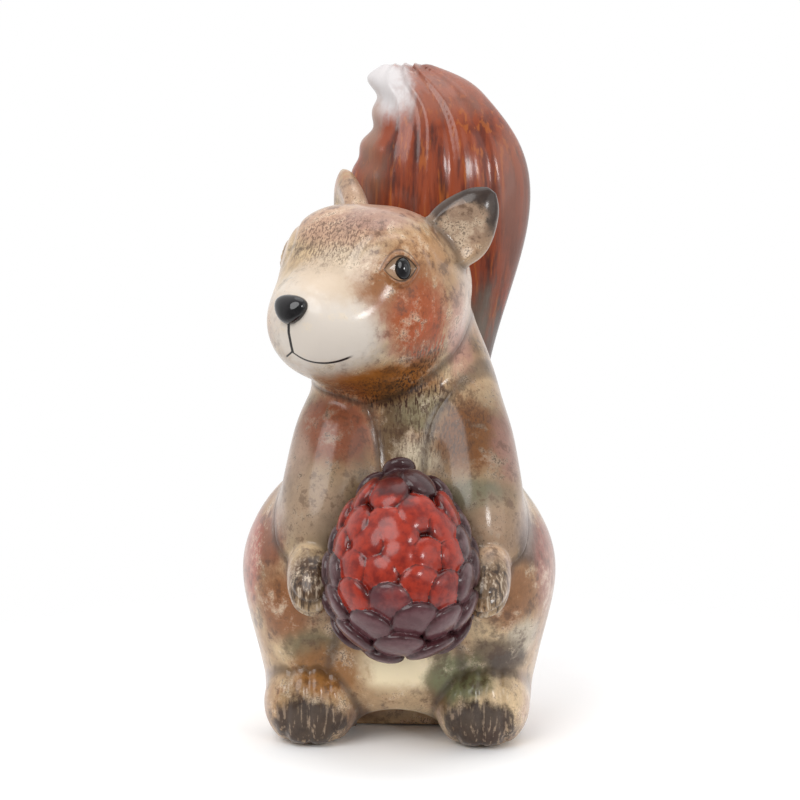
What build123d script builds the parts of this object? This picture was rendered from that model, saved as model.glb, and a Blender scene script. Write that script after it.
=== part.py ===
from build123d import *
import os
from math import acos, cos, pi, radians, sin

# A glazed stoneware squirrel, sitting up with a pine cone between its forepaws.
# It is put together from castings and pressed pieces that are luted with slip while
# the clay is soft. The body, head and tail are hollow castings, the rest is solid.
# +Z is up, the squirrel faces -Y and its left side is +X. The origin is on the floor,
# in the seat under the trunk. Lengths are in millimetres and angles in degrees.

# Clay
wall = 4.0
hollow_end_share = 0.4
overrun = 30.0

# Body casting: the trunk. A section is its height, half width, half depth, set-back and lean
trunk_height = 126.0
trunk_half_width = 34.0
trunk_half_depth = 32.0
trunk_lean = 2.7
trunk_section_shares = (
    (0.00, 0.70, 0.62, 0.36, 0.00),
    (0.08, 0.90, 0.86, 0.12, 0.00),
    (0.24, 1.00, 1.00, 0.00, 0.20),
    (0.41, 0.99, 0.98, -0.02, 0.70),
    (0.58, 0.92, 0.85, 0.00, 1.00),
    (0.72, 0.82, 0.73, 0.00, 1.00),
    (0.83, 0.76, 0.68, 0.00, 1.00),
    (0.92, 0.68, 0.64, 0.02, 1.00),
    (1.00, 0.54, 0.50, 0.06, 1.00),
)
neck_height = 104.0
neck_vent_radius = 8.0
drain_radius = 6.0
drain_setback_share = 0.58

# Body casting: the haunches
haunch_height = 80.0
haunch_half_width = 20.8
haunch_half_depth = 28.0
haunch_spread_share = 0.77
haunch_forward_share = 0.14
haunch_section_shares = (
    (0.00, 0.46, 0.50, 0.0, 0.0),
    (0.12, 0.60, 0.66, 0.0, 0.0),
    (0.33, 0.79, 0.84, 0.0, 0.0),
    (0.50, 0.95, 0.98, 0.0, 0.0),
    (0.66, 1.00, 1.00, 0.0, 0.0),
    (0.82, 0.80, 0.82, 0.0, 0.0),
    (0.93, 0.50, 0.51, 0.0, 0.0),
    (1.00, 0.22, 0.22, 0.0, 0.0),
)

# Body casting: the arch under the belly
arch_half_width = 13.0
arch_height = 10.5
arch_end = 2.0

# Hind feet
foot_length = 39.0
foot_radius = 14.2
foot_rise_share = 0.82
foot_heel_share = 0.17
foot_spread_share = 0.75
foot_girth_shares = (
    (0.00, 0.22), (0.06, 0.50), (0.17, 0.77), (0.34, 0.95), (0.54, 1.00),
    (0.76, 0.96), (0.90, 0.78), (0.97, 0.52), (1.00, 0.26),
)

# Head casting, turned to the squirrel's right. Its sections run from the nape to the muzzle
head_yaw = -37.0
head_length = 68.5
head_half_width = 26.8
head_half_height = 27.0
head_droop = 8.5
head_nape_share = 0.40
head_rise = 134.0
head_side = -5.4
head_forward = 8.0
head_section_shares = (
    (0.00, 0.20, 0.18, 0.25, 0.0),
    (0.04, 0.47, 0.45, 0.20, 0.0),
    (0.14, 0.75, 0.74, 0.02, 0.0),
    (0.28, 0.94, 0.95, -0.18, 0.0),
    (0.43, 1.00, 1.05, -0.30, 0.0),
    (0.57, 0.97, 1.02, -0.34, 0.0),
    (0.72, 0.83, 0.81, -0.46, 0.0),
    (0.84, 0.66, 0.60, -0.72, 0.0),
    (0.93, 0.47, 0.45, -0.72, 0.0),
    (0.98, 0.27, 0.27, -0.62, 0.0),
    (1.00, 0.11, 0.11, -0.55, 0.0),
)

# Ears: a leaf, scooped at the front
ear_length = 29.0
ear_half_width = 9.6
ear_half_depth = 5.0
ear_root = 9.0
ear_rim = 1.8
ear_ring_radius = 21.0
ear_swing = 118.0
ear_rise = 15.0
ear_lean_swing = 124.0
ear_lean = 38.0
ear_face_swing = 36.0
ear_section_shares = (
    (0.00, 0.40, 0.70, 0.0, 0.0),
    (0.15, 0.70, 0.90, 0.0, 0.0),
    (0.38, 1.00, 1.00, 0.0, 0.0),
    (0.60, 0.95, 0.86, 0.0, 0.0),
    (0.80, 0.70, 0.62, 0.0, 0.0),
    (0.93, 0.42, 0.38, 0.0, 0.0),
    (1.00, 0.16, 0.16, 0.0, 0.0),
)

# Eyes
eye_radius = 2.4
eye_height = 7.0
eye_swing = 57.0
eye_rise = 10.0
eye_sink_share = 0.30
eye_girth_shares = (
    (0.00, 0.22), (0.08, 0.55), (0.25, 0.87), (0.50, 1.00), (0.75, 0.87), (0.92, 0.55), (1.00, 0.22),
)

# Nose
nose_half_width = 6.4
nose_height = 9.6
nose_stand_off = 2.8
nose_corner = 2.4
nose_edge = 1.4
nose_start_share = 0.36
nose_lift = 22.0

# Forelegs, from the shoulder to the elbow to the paw
foreleg_lean = 1.7
shoulder_height = 112.0
shoulder_side_share = 0.45
shoulder_forward = 3.0
elbow_height = 46.5
elbow_side_share = 0.71
elbow_forward = 30.0
upper_arm_radius = 14.5
upper_arm_girth_shares = (
    (0.00, 0.24), (0.05, 0.50), (0.14, 0.72), (0.30, 0.92), (0.50, 1.00),
    (0.70, 0.98), (0.85, 0.80), (0.95, 0.50), (1.00, 0.22),
)
paw_radius = 8.0
paw_girth_shares = (
    (0.00, 0.24), (0.08, 0.56), (0.24, 0.88), (0.50, 1.00), (0.78, 0.88), (0.94, 0.52), (1.00, 0.24),
)
paw_spread = 23.0
paw_height = 47.0
paw_forward = 47.0
wrist_spread = 25.0
wrist_height = 68.0
wrist_forward = 27.0

# Pine cone: a core and its scales, cast in one
cone_side = 3.2
cone_radius = 20.0
cone_height = 58.0
cone_rise = 58.0
cone_forward = 45.0
cone_girth_shares = (
    (0.00, 0.20), (0.05, 0.50), (0.16, 0.80), (0.32, 0.96), (0.46, 1.00),
    (0.62, 0.93), (0.78, 0.72), (0.90, 0.48), (0.97, 0.26), (1.00, 0.12),
)
scale_count = 80
scale_radius = 6.4
scale_thickness = 3.6
scale_bevel = 2.4
scale_sink = 2.4
scale_tilt = 19.0
scale_pole_rise = 35.0
scale_reach_share = 0.88

# Tail casting
tail_height = 198.0
tail_half_width = 28.2
tail_half_depth = 13.5
tail_set_back = 40.0
tail_lean = 10.0
tail_section_shares = (
    (0.10, 0.46, 0.60, 0.62, 0.00),
    (0.22, 0.62, 0.90, 0.86, 0.05),
    (0.38, 0.72, 1.00, 1.04, 0.15),
    (0.55, 0.80, 0.98, 1.02, 0.40),
    (0.70, 0.96, 1.00, 0.98, 0.80),
    (0.80, 1.00, 1.00, 0.97, 1.00),
    (0.89, 0.84, 0.90, 1.00, 1.00),
    (0.95, 0.64, 0.72, 1.05, 0.66),
    (0.985, 0.48, 0.46, 1.09, 0.16),
    (1.00, 0.26, 0.20, 1.10, 0.00),
)
tail_vent_radius = 3.0
tail_vent_height = 62.0

sides = {"right": -1, "left": 1}


def stack(height, half_width, half_depth, set_back, lean, section_shares, grow=0.0):
    """A form lofted through level ellipses. Its ends draw in by as much as its sides.
    Sections too thin to draw in are left out."""
    middle = (section_shares[0][0] + section_shares[-1][0]) / 2
    with BuildPart() as form:
        for rise, width, depth, back, side in section_shares:
            if min(width * half_width, depth * half_depth) < -grow * (1 + hollow_end_share):
                continue
            level = rise * height + grow * (rise - middle) / (1 - middle)
            with BuildSketch(Plane.XY.offset(level)):
                with Locations((side * lean, back * set_back)):
                    Ellipse(width * half_width + grow, depth * half_depth + grow)
        loft()
    return form.part


def egg(length, radius, girth_shares):
    """A round swelling form standing on the origin."""
    sections = [(place, girth, girth, 0.0, 0.0) for place, girth in girth_shares]
    return stack(length, radius, radius, 0.0, 0.0, sections)


def limb(start, end, radius, girth_shares):
    """An egg that stands on one point and reaches another."""
    reach = Vector(*end) - Vector(*start)
    return Plane(origin=start, z_dir=reach).location * egg(reach.length, radius, girth_shares)


def heading(swing, rise=0.0):
    """The direction that lies so far round from straight ahead, to the left, and so far up."""
    level = cos(radians(rise))
    return Vector(sin(radians(swing)) * level, -cos(radians(swing)) * level, sin(radians(rise)))


def on_skin(skin, start, direction):
    """The point where a ray leaves a form, and the way out of its surface there."""
    return skin.shell().find_intersection_points(Axis(start, direction))[-1]


def trunk_form(grow=0.0):
    """The skin of the trunk, from the seat to the neck."""
    return stack(trunk_height, trunk_half_width, trunk_half_depth, trunk_half_depth,
                 trunk_lean, trunk_section_shares, grow)


def body_form(grow=0.0):
    """The skin of the trunk and both haunches."""
    haunch = stack(haunch_height, haunch_half_width, haunch_half_depth, 0.0, 0.0,
                   haunch_section_shares, grow)
    with BuildPart() as form:
        add(trunk_form(grow))
        for side in sides.values():
            with Locations((side * haunch_spread_share * trunk_half_width,
                            -haunch_forward_share * trunk_half_depth)):
                add(haunch)
    return form.part


def arch_form(grow=0.0):
    """The hollow under the belly, open to the front between the feet."""
    with BuildPart() as form:
        with BuildSketch(Plane.XZ.offset(arch_end - grow)):
            Ellipse(arch_half_width + grow, arch_height + grow)
        extrude(amount=trunk_half_depth + overrun)
    return form.part


head_place = Location((head_side, -head_forward, head_rise), (0, 0, head_yaw))
nape = Plane((0, head_nape_share * head_length, 0), x_dir=(1, 0, 0), z_dir=(0, -1, 0))


def head_form(grow=0.0):
    """The skin of the skull, jowls and muzzle."""
    return head_place * nape.location * stack(
        head_length, head_half_width, head_half_height, head_droop, 0.0, head_section_shares, grow)


def tail_form(grow=0.0):
    """The skin of the plume."""
    return stack(tail_height, tail_half_width, tail_half_depth, tail_set_back,
                 tail_lean, tail_section_shares, grow)


body_skin = body_form()
head_skin = head_form()

# Body: a hollow casting of one even wall, vented to the head and the tail and drained below
with BuildPart() as body_hollow:
    add(body_form(-wall))
    add(arch_form(wall), mode=Mode.SUBTRACT)
    add(head_form(wall), mode=Mode.SUBTRACT)

with BuildPart() as body:
    add(body_skin)
    add(head_skin, mode=Mode.SUBTRACT)
    add(arch_form(), mode=Mode.SUBTRACT)
    add(body_hollow.part, mode=Mode.SUBTRACT)
    with Locations((0, drain_setback_share * trunk_half_depth, wall)):
        Cylinder(drain_radius, overrun, mode=Mode.SUBTRACT)
    with Locations((head_side, 0, neck_height)):
        Cylinder(neck_vent_radius, overrun, mode=Mode.SUBTRACT)
    with Locations(Location((0, trunk_half_depth, tail_vent_height), (90, 0, 0))):
        Cylinder(tail_vent_radius, overrun, mode=Mode.SUBTRACT)
body.part.label = "body"

# Head: a hollow casting, seated in the neck and open to it
with BuildPart() as head:
    add(head_skin)
    add(head_form(-wall), mode=Mode.SUBTRACT)
    with Locations((head_side, 0, neck_height)):
        Cylinder(neck_vent_radius, overrun, mode=Mode.SUBTRACT)
head.part.label = "head"

# Tail: a hollow casting, luted up the back. Its wall runs on along the back of the body
with BuildPart() as tail_hollow:
    add(tail_form(-wall))
    add(body_form(wall), mode=Mode.SUBTRACT)

with BuildPart() as tail:
    add(tail_form())
    add(tail_hollow.part, mode=Mode.SUBTRACT)
    add(body_skin, mode=Mode.SUBTRACT)
    with Locations(Location((0, trunk_half_depth, tail_vent_height), (90, 0, 0))):
        Cylinder(tail_vent_radius, overrun, mode=Mode.SUBTRACT)
tail.part.label = "tail"

pieces = [body, head, tail]

# Hind feet, their soles flat on the floor
foot_egg = egg(foot_length, foot_radius, foot_girth_shares)
for name, side in sides.items():
    heel = (side * foot_spread_share * trunk_half_width, foot_heel_share * foot_length,
            foot_rise_share * foot_radius)
    with BuildPart() as foot:
        with Locations(Plane(heel, x_dir=(1, 0, 0), z_dir=(0, -1, 0)).location):
            add(foot_egg)
        split(bisect_by=Plane.XY, keep=Keep.TOP)
        add(body_skin, mode=Mode.SUBTRACT)
    foot.part.label = f"{name}_foot"
    pieces.append(foot)

# Forelegs, luted to the shoulders and reaching round the cone
limbs = []
for name, side in sides.items():
    shoulder = (foreleg_lean + side * shoulder_side_share * trunk_half_width,
                -shoulder_forward, shoulder_height)
    elbow = (foreleg_lean + side * elbow_side_share * trunk_half_width, -elbow_forward, elbow_height)
    wrist = (foreleg_lean + side * wrist_spread, -wrist_forward, wrist_height)
    paw_tip = (foreleg_lean + side * paw_spread, -paw_forward, paw_height)
    upper_arm = limb(shoulder, elbow, upper_arm_radius, upper_arm_girth_shares)
    paw = limb(wrist, paw_tip, paw_radius, paw_girth_shares)
    limbs += [upper_arm, paw]
    with BuildPart() as foreleg:
        add(upper_arm)
        add(paw)
        add(body_skin, mode=Mode.SUBTRACT)
        add(head_skin, mode=Mode.SUBTRACT)
    foreleg.part.label = f"{name}_foreleg"
    pieces.append(foreleg)

# Pine cone: its scales spiral out from a pole that looks forward and up, each leaf-shaped
# tile lifted at its free edge. The golden angle between one scale and the next spreads them,
# and none is pressed where the chest or a foreleg covers the core.
golden_angle = pi * (3 - 5 ** 0.5)
cone_middle = Vector(cone_side, -cone_forward, cone_rise)
cone_foot = cone_middle - Vector(0, 0, cone_height / 2)
cone_core = Location(cone_foot) * egg(cone_height, cone_radius, cone_girth_shares)
pole = Plane(cone_middle, x_dir=(1, 0, 0), z_dir=heading(0, scale_pole_rise))
covers = [trunk_form()] + limbs
scale_places = []
for count in range(scale_count):
    swing = acos(1 - 2 * scale_reach_share * (count + 0.5) / scale_count)
    turn = count * golden_angle
    way = pole.from_local_coords(Vector(sin(swing) * cos(turn), sin(swing) * sin(turn), cos(swing)))
    seat, out = on_skin(cone_core, cone_middle, way - cone_middle)
    if any(cover.solid().is_inside(seat + out * scale_thickness / 2) for cover in covers):
        continue
    away = (seat - cone_middle).cross(pole.z_dir).cross(out).normalized()
    scale_places.append(Plane(seat - out * scale_sink, x_dir=away, z_dir=out)
                        * Location((0, 0, 0), (0, -scale_tilt, 0)))

with BuildPart() as pine_cone:
    add(cone_core)
    with Locations(scale_places):
        Cone(scale_radius, scale_radius - scale_bevel, scale_thickness,
             align=(Align.CENTER, Align.CENTER, Align.MIN))
    for cover in covers:
        add(cover, mode=Mode.SUBTRACT)
pine_cone.part.label = "pine_cone"
pieces.append(pine_cone)

# Ears: pressed leaves, each scooped at the front to leave a rim
for name, side in sides.items():
    lean = Vector(sin(radians(ear_lean)) * side * sin(radians(ear_lean_swing)),
                  -sin(radians(ear_lean)) * cos(radians(ear_lean_swing)), cos(radians(ear_lean)))
    seat = heading(side * ear_swing) * ear_ring_radius + Vector(0, 0, ear_rise)
    root = Plane(seat - lean * ear_root, x_dir=lean.cross(heading(side * ear_face_swing)), z_dir=lean)
    leaf = stack(ear_length, ear_half_width, ear_half_depth, 0.0, 0.0, ear_section_shares)
    scoop = stack(ear_length, ear_half_width, ear_half_depth, 0.0, 0.0, ear_section_shares, -ear_rim)
    with BuildPart() as ear:
        with Locations(head_place * root.location):
            add(leaf)
        with Locations(head_place * root.location * Location((0, -ear_half_depth, 0))):
            add(scoop, mode=Mode.SUBTRACT)
        add(head_skin, mode=Mode.SUBTRACT)
    ear.part.label = f"{name}_ear"
    pieces.append(ear)

# Eyes: beads set into the skin of the head
eye_bead = egg(eye_height, eye_radius, eye_girth_shares)
for name, side in sides.items():
    start = (head_place * Location((0, 0, eye_rise))).position
    look = (head_place * Location(heading(side * eye_swing))).position - head_place.position
    seat, out = on_skin(head_skin, start, look)
    lid = Plane(seat - out * eye_sink_share * eye_radius, x_dir=out, z_dir=out.cross(look.cross(Vector(0, 0, 1))))
    with BuildPart() as eye:
        with Locations(lid.location * Location((0, 0, -eye_height / 2))):
            add(eye_bead)
        add(head_skin, mode=Mode.SUBTRACT)
    eye.part.label = f"{name}_eye"
    pieces.append(eye)

# Nose: a pressed pad, a triangle with its point down
ahead = (head_place * Location(heading(0, nose_lift))).position - head_place.position
nose_start = (head_place * Location((0, -nose_start_share * head_length, -head_droop))).position
seat, out = on_skin(head_skin, nose_start, ahead)
nose_plane = Plane(seat, x_dir=Vector(0, 0, 1).cross(out), z_dir=out)
with BuildPart() as nose:
    with BuildSketch(nose_plane) as nose_outline:
        Polygon((-nose_half_width, nose_height / 2), (nose_half_width, nose_height / 2),
                (0, -nose_height / 2), align=None)
        fillet(nose_outline.vertices(), nose_corner)
    extrude(amount=nose_stand_off)
    fillet(nose.faces().sort_by(Axis(seat, out))[-1].edges(), nose_edge)
    extrude(nose.faces().sort_by(Axis(seat, out))[0], amount=nose_stand_off)
    add(head_skin, mode=Mode.SUBTRACT)
nose.part.label = "nose"
pieces.append(nose)

os.makedirs("parts", exist_ok=True)
for piece in pieces:
    export_step(piece.part, f"parts/{piece.part.label}.step")
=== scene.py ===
import math

import bpy
import numpy as np
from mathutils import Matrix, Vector


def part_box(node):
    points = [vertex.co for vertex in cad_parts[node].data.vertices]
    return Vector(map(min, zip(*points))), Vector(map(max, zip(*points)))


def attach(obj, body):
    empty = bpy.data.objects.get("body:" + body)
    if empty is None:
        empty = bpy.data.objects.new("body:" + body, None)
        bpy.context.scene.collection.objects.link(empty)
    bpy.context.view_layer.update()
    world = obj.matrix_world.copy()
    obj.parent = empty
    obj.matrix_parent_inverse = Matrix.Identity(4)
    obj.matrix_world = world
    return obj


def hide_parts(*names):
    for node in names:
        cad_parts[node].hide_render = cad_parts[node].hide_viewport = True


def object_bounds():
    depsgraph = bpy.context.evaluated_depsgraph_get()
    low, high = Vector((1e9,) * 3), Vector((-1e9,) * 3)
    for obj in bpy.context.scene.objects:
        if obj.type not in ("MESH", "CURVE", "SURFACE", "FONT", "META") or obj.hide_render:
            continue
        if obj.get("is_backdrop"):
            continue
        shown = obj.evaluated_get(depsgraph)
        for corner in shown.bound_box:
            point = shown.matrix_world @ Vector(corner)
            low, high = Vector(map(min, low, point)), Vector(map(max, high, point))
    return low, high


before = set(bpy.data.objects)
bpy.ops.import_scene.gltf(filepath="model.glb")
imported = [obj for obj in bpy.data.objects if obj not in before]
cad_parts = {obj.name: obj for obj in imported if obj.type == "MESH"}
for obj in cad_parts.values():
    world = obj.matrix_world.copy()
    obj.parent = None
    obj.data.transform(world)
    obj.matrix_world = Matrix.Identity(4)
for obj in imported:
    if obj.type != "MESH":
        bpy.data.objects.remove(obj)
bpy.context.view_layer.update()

# Body: the trunk and both haunches, one hollow stoneware casting that stands on its seat.
# Every casting is a field of signed distances in millimetres, and the wet clay seams
# between them are smoothed before the skin is taken off the field.
GRID = 0.6
FINE_GRID = 0.42
WALL = 4.0
TRUNK = dict(height=126.0, half_width=34.0, half_depth=32.0, set_back=32.0, lean=2.7)
TRUNK_ROWS = (
    (0.00, 0.70, 0.62, 0.36, 0.00), (0.08, 0.90, 0.86, 0.12, 0.00), (0.24, 1.00, 1.00, 0.00, 0.20),
    (0.41, 0.99, 0.98, -0.02, 0.70), (0.58, 0.92, 0.85, 0.00, 1.00), (0.72, 0.82, 0.73, 0.00, 1.00),
    (0.83, 0.76, 0.68, 0.00, 1.00), (0.92, 0.68, 0.64, 0.02, 1.00), (1.00, 0.54, 0.50, 0.06, 1.00),
)
HAUNCH = dict(height=80.0, half_width=20.8, half_depth=28.0)
HAUNCH_SIDE = 26.1
HAUNCH_FORWARD = 4.5
HAUNCH_ROWS = (
    (0.00, 0.46, 0.50, 0, 0), (0.12, 0.60, 0.66, 0, 0), (0.33, 0.79, 0.84, 0, 0), (0.50, 0.95, 0.98, 0, 0),
    (0.66, 1.00, 1.00, 0, 0), (0.82, 0.80, 0.82, 0, 0), (0.93, 0.50, 0.51, 0, 0), (1.00, 0.22, 0.22, 0, 0),
)
ARCH_HALF_WIDTH = 13.0
ARCH_HEIGHT = 10.5
ARCH_END = 2.0
DRAIN_RADIUS = 6.0
DRAIN_BACK = 18.6
SIDES = {"right": -1, "left": 1}


def curve(rows, column, share):
    """One column of a section table as a natural cubic spline."""
    table = np.array(rows, float)
    at, value = table[:, 0], table[:, column]
    step = np.diff(at)
    count = len(at)
    system = np.eye(count)
    pull = np.zeros(count)
    for i in range(1, count - 1):
        system[i, i - 1:i + 2] = step[i - 1], 2 * (step[i - 1] + step[i]), step[i]
        pull[i] = 6 * ((value[i + 1] - value[i]) / step[i] - (value[i] - value[i - 1]) / step[i - 1])
    bend = np.linalg.solve(system, pull)
    share = np.clip(share, at[0], at[-1])
    i = np.clip(np.searchsorted(at, share) - 1, 0, count - 2)
    a, b, h = at[i + 1] - share, share - at[i], step[i]
    return ((bend[i] * a ** 3 + bend[i + 1] * b ** 3) / (6 * h)
            + (value[i] / h - bend[i] * h / 6) * a + (value[i + 1] / h - bend[i + 1] * h / 6) * b)


def stack(p, rows, height, half_width, half_depth, set_back=0.0, lean=0.0):
    """Distance to a form that runs through level ellipses."""
    x, y, z = p
    share = z / height
    fine = np.linspace(rows[0][0], rows[-1][0], 400)
    wide = np.interp(share, fine, curve(rows, 1, fine)) * half_width
    deep = np.interp(share, fine, curve(rows, 2, fine)) * half_depth
    u = x - np.interp(share, fine, curve(rows, 4, fine)) * lean
    v = y - np.interp(share, fine, curve(rows, 3, fine)) * set_back
    ring = np.sqrt((u / wide) ** 2 + (v / deep) ** 2)
    steep = np.sqrt((u / wide ** 2) ** 2 + (v / deep ** 2) ** 2) + 1e-6
    slope = np.interp(share, fine, np.gradient(curve(rows, 1, fine) * half_width, fine * height))
    side = ring * (ring - 1) / steep / np.sqrt(1 + np.minimum(slope ** 2, 9.0))
    end = np.abs(z - (rows[0][0] + rows[-1][0]) * height / 2) - (rows[-1][0] - rows[0][0]) * height / 2
    return np.minimum(np.maximum(side, end), 0) + np.hypot(np.maximum(side, 0), np.maximum(end, 0))


def melt(a, b, reach):
    """Union of two fields with a fillet of wet clay between them."""
    near = np.maximum(reach - np.abs(a - b), 0) / reach
    return np.minimum(a, b) - near * near * reach / 4


def pare(a, b, reach):
    """What two fields have in common, its edge softened."""
    return -melt(-a, -b, reach)


def shifted(p, place):
    return [c - s for c, s in zip(p, place)]


def unit(v):
    v = np.asarray(v, float)
    return v / np.linalg.norm(v)


def into(p, origin, x_axis, z_axis):
    """The same points, told in a frame that has its own origin and axes."""
    z_axis = unit(z_axis)
    x_axis = unit(np.asarray(x_axis, float) - np.dot(x_axis, z_axis) * z_axis)
    y_axis = np.cross(z_axis, x_axis)
    q = shifted(p, origin)
    return [sum(c * float(a) for c, a in zip(q, axis)) for axis in (x_axis, y_axis, z_axis)]


def egg(p, rows, start, end, radius):
    """A round limb from one point to another."""
    reach = np.subtract(end, start)
    across = np.cross((0.3, 0.9, 0.1), reach)
    form = [(place, girth, girth, 0, 0) for place, girth in rows]
    length = float(np.linalg.norm(reach))
    return stack(into(p, start, across, reach), form, length, radius, radius)


def trunk_field(p):
    return stack(p, TRUNK_ROWS, **TRUNK)


def haunch_field(p, side):
    return stack(shifted(p, (side * HAUNCH_SIDE, -HAUNCH_FORWARD, 0)), HAUNCH_ROWS, **HAUNCH)


def body_field(p):
    form = trunk_field(p)
    for side in SIDES.values():
        form = melt(form, haunch_field(p, side), 5.0)
    return form


def arch_field(p):
    x, y, z = p
    ring = np.sqrt((x / ARCH_HALF_WIDTH) ** 2 + (z / ARCH_HEIGHT) ** 2)
    return np.maximum((ring - 1) * ARCH_HEIGHT, y + ARCH_END)


# Head: a hollow casting seated in the neck and turned to the squirrel's right, with
# swellings over the eyes, rims of clay round them and a groove under each brow.
HEAD_YAW = math.radians(-37.0)
HEAD_PLACE = (-5.4, -8.0, 134.0)
HEAD = dict(height=68.5, half_width=26.8, half_depth=27.0, set_back=8.5)
HEAD_NAPE = 0.40 * 68.5
HEAD_ROWS = (
    (0.00, 0.20, 0.18, 0.25, 0), (0.04, 0.47, 0.45, 0.20, 0), (0.14, 0.75, 0.74, 0.02, 0),
    (0.28, 0.94, 0.95, -0.18, 0), (0.43, 1.00, 1.05, -0.30, 0), (0.57, 0.97, 1.02, -0.34, 0),
    (0.72, 0.83, 0.81, -0.46, 0), (0.84, 0.66, 0.60, -0.72, 0), (0.93, 0.47, 0.45, -0.72, 0),
    (0.98, 0.27, 0.27, -0.62, 0), (1.00, 0.11, 0.11, -0.55, 0),
)
BROW_PLACE = (9.6, 9.4, 10.8)
BROW_RADIUS = 13.8
EYE_SWING = {"left": math.radians(54.0), "right": math.radians(60.0)}
EYE_RISE = 10.5
LID_HALF_WIDTH = 5.4
LID_HALF_HEIGHT = 4.3
LID_SHIFT = 0.9
HEAD_SIDE = np.array((math.cos(HEAD_YAW), math.sin(HEAD_YAW), 0.0))
HEAD_AHEAD = np.array((math.sin(HEAD_YAW), -math.cos(HEAD_YAW), 0.0))
UP = np.array((0.0, 0.0, 1.0))


def in_head(p):
    """Points told as how far to the head's left, ahead and up."""
    q = shifted(p, HEAD_PLACE)
    return [q[0] * float(HEAD_SIDE[0]) + q[1] * float(HEAD_SIDE[1]),
            q[0] * float(HEAD_AHEAD[0]) + q[1] * float(HEAD_AHEAD[1]), q[2]]


def from_head(side, ahead, up):
    return np.array(HEAD_PLACE) + HEAD_SIDE * side + HEAD_AHEAD * ahead + UP * up


def head_field(p):
    side, ahead, up = in_head(p)
    form = stack([side, up, ahead + HEAD_NAPE], HEAD_ROWS, **HEAD)
    for hand in SIDES.values():
        centre = (hand * BROW_PLACE[0], BROW_PLACE[1], BROW_PLACE[2])
        ball = np.sqrt(sum((c - m) ** 2 for c, m in zip((side, ahead, up), centre))) - BROW_RADIUS
        form = melt(form, ball, 7.0)
    return form


def on_skin(field, start, direction, reach=60.0):
    """Where a ray leaves a field, and the way out of its surface there."""
    start, direction = np.asarray(start, float), unit(direction)
    steps = np.linspace(0, reach, 2401)
    ray = [start[i] + steps * direction[i] for i in range(3)]
    held = np.nonzero(field(ray) < 0)[0]
    point = start + direction * steps[held[-1]]

    def beside(step):
        return [float(field([np.array(c) for c in point + step * axis])) for axis in np.eye(3)]

    return point, unit(np.subtract(beside(0.2), beside(-0.2)))


EYES = {}
for hand, side in SIDES.items():
    look = math.sin(EYE_SWING[hand]) * side * HEAD_SIDE + math.cos(EYE_SWING[hand]) * HEAD_AHEAD
    seat, out = on_skin(head_field, from_head(0, 0, EYE_RISE), look)
    across = unit(np.cross(UP, out)) * side
    EYES[hand] = (seat, out, across, unit(np.cross(out, across)) * side)


def carved_head(p):
    """The skull with the modelled work round the eyes."""
    form = head_field(p)
    for seat, out, across, rise in EYES.values():
        q = shifted(p, seat)
        u, v, w = (sum(c * float(a) for c, a in zip(q, axis)) for axis in (across, rise, out))
        lid = np.abs(v) / LID_HALF_HEIGHT + ((u + LID_SHIFT) / LID_HALF_WIDTH) ** 2
        near = np.exp(-(w / 6.0) ** 2)
        form = form - 0.70 * np.exp(-((lid - 1.0) / 0.20) ** 2) * near
        form = form + 0.50 * np.exp(-(lid / 0.75) ** 4) * near
        groove = np.sqrt(((u + 1.5) / 11.5) ** 2 + ((v - 0.5) / 10.0) ** 2)
        form = form + 0.75 * np.exp(-((groove - 1.0) / 0.10) ** 2) * near * (1 / (1 + np.exp(-(v - 1.0))))
    return form


# Tail: a hollow plume casting luted up the back, with long combed ridges and a
# notched edge where the fur ends in locks.
TAIL = dict(height=197.4, half_width=28.2, half_depth=13.5, set_back=39.5, lean=10.0)
TAIL_ROWS = (
    (0.10, 0.46, 0.60, 0.62, 0.00), (0.22, 0.62, 0.90, 0.86, 0.05), (0.38, 0.72, 1.00, 1.04, 0.15),
    (0.55, 0.80, 0.98, 1.02, 0.40), (0.70, 0.96, 1.00, 0.98, 0.80), (0.80, 1.00, 1.00, 0.97, 1.00),
    (0.89, 0.84, 0.90, 1.00, 1.00), (0.95, 0.64, 0.72, 1.05, 0.66), (0.985, 0.48, 0.46, 1.09, 0.16),
    (1.00, 0.26, 0.20, 1.10, 0.00),
)
TAIL_NOTCHES = ((184.5, 2.6, 3.6), (173.0, 2.2, 3.4), (163.0, 1.2, 3.0), (152.0, 0.9, 3.0))


def tail_field(p):
    return stack(p, TAIL_ROWS, **TAIL)


def combed_tail(p):
    x, y, z = p
    form = tail_field(p)
    share = z / TAIL["height"]
    fine = np.linspace(TAIL_ROWS[0][0], 1, 400)
    middle = np.interp(share, fine, curve(TAIL_ROWS, 4, fine)) * TAIL["lean"]
    width = np.interp(share, fine, curve(TAIL_ROWS, 1, fine)) * TAIL["half_width"]
    u = (x - middle) / width
    wander = 0.5 * np.sin(z / 17.0) + 0.3 * np.sin(z / 7.3 + 1.0)
    ridge = np.sin(15.0 * u + wander) + 0.45 * np.sin(31.0 * u - 1.4 * wander + 2.0)
    form = form + 0.42 * ridge * np.clip(1.15 - np.abs(u), 0, 1) * np.clip((z - 30) / 40, 0, 1)
    for level, depth, spread in TAIL_NOTCHES:
        left = 1 / (1 + np.exp((u + 0.72) / 0.07))
        lean = (x - middle) * 0.25
        form = form + depth * np.exp(-((z - level + lean) / spread) ** 2) * left
    return form


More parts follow.
